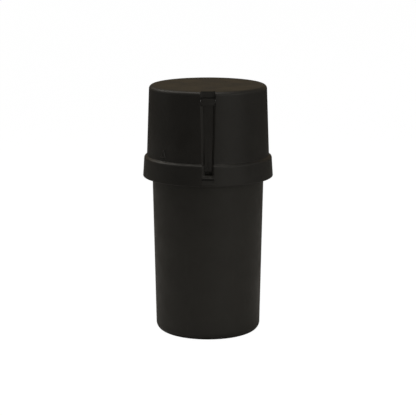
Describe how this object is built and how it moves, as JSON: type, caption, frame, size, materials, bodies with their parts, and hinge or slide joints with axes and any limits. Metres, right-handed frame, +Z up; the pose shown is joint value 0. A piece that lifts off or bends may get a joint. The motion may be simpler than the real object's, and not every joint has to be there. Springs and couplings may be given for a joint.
{
  "type": "pill crusher",
  "caption": "Pocket tablet vial with a twist crusher in its push-and-turn cap; a hinged side lever opens a pour window.",
  "frame": {"origin": "centre of the vial's resting face", "axes": "+Z up along the vial's axis; the pour lever faces -Y and its hinge pin runs along X"},
  "size_m": [0.0508, 0.0508, 0.0975],
  "materials": {
    "black_plastic": "moulded, satin, slightly warm black",
    "tooth_plastic": "moulded, satin",
    "seal_rubber": "soft, matt dark grey",
    "white_acetal": "smooth, waxy",
    "spring_steel": "bright rolled strip and wire"
  },
  "bodies": {
    "vial": {"storage_vial": "black_plastic"},
    "neck_seal": {"vial_seal_ring": "seal_rubber"},
    "closure": {"crusher_base": "tooth_plastic", "lower_tooth_plate": "tooth_plastic", "thrust_washer": "white_acetal", "push_spring": "spring_steel"},
    "plunger_seal": {"plunger_o_ring": "seal_rubber"},
    "cap": {"cap_shell": "black_plastic", "tooth_plunger": "tooth_plastic", "lever_pin": "spring_steel"},
    "lever": {"pour_lever": "black_plastic", "lever_pad": "seal_rubber"}
  },
  "joints": [
    {"name": "closure_rise", "type": "slide", "parent": "vial", "child": "neck_seal", "axis": [0, 0, 1], "range_m": [0, 0.00733]},
    {"name": "closure_screw", "type": "hinge", "parent": "neck_seal", "child": "closure", "pos_m": [0, 0, 0.066], "axis": [0, 0, 1], "range_deg": [0, 660]},
    {"name": "cap_slide", "type": "slide", "parent": "closure", "child": "plunger_seal", "axis": [0, 0, 1], "range_m": [-0.0012, 0.032], "deforming": ["push_spring"]},
    {"name": "cap_turn", "type": "hinge", "parent": "plunger_seal", "child": "cap", "pos_m": [0, 0, 0.084], "axis": [0, 0, 1], "continuous": true},
    {"name": "lever_hinge", "type": "hinge", "parent": "cap", "child": "lever", "pos_m": [0, -0.0216, 0.0939], "axis": [-1, 0, 0], "range_deg": [0, 100]}
  ],
  "couplings": [
    {"joint": "closure_screw", "follows": "closure_rise", "rad_per_m": 1570.8}
  ]
}
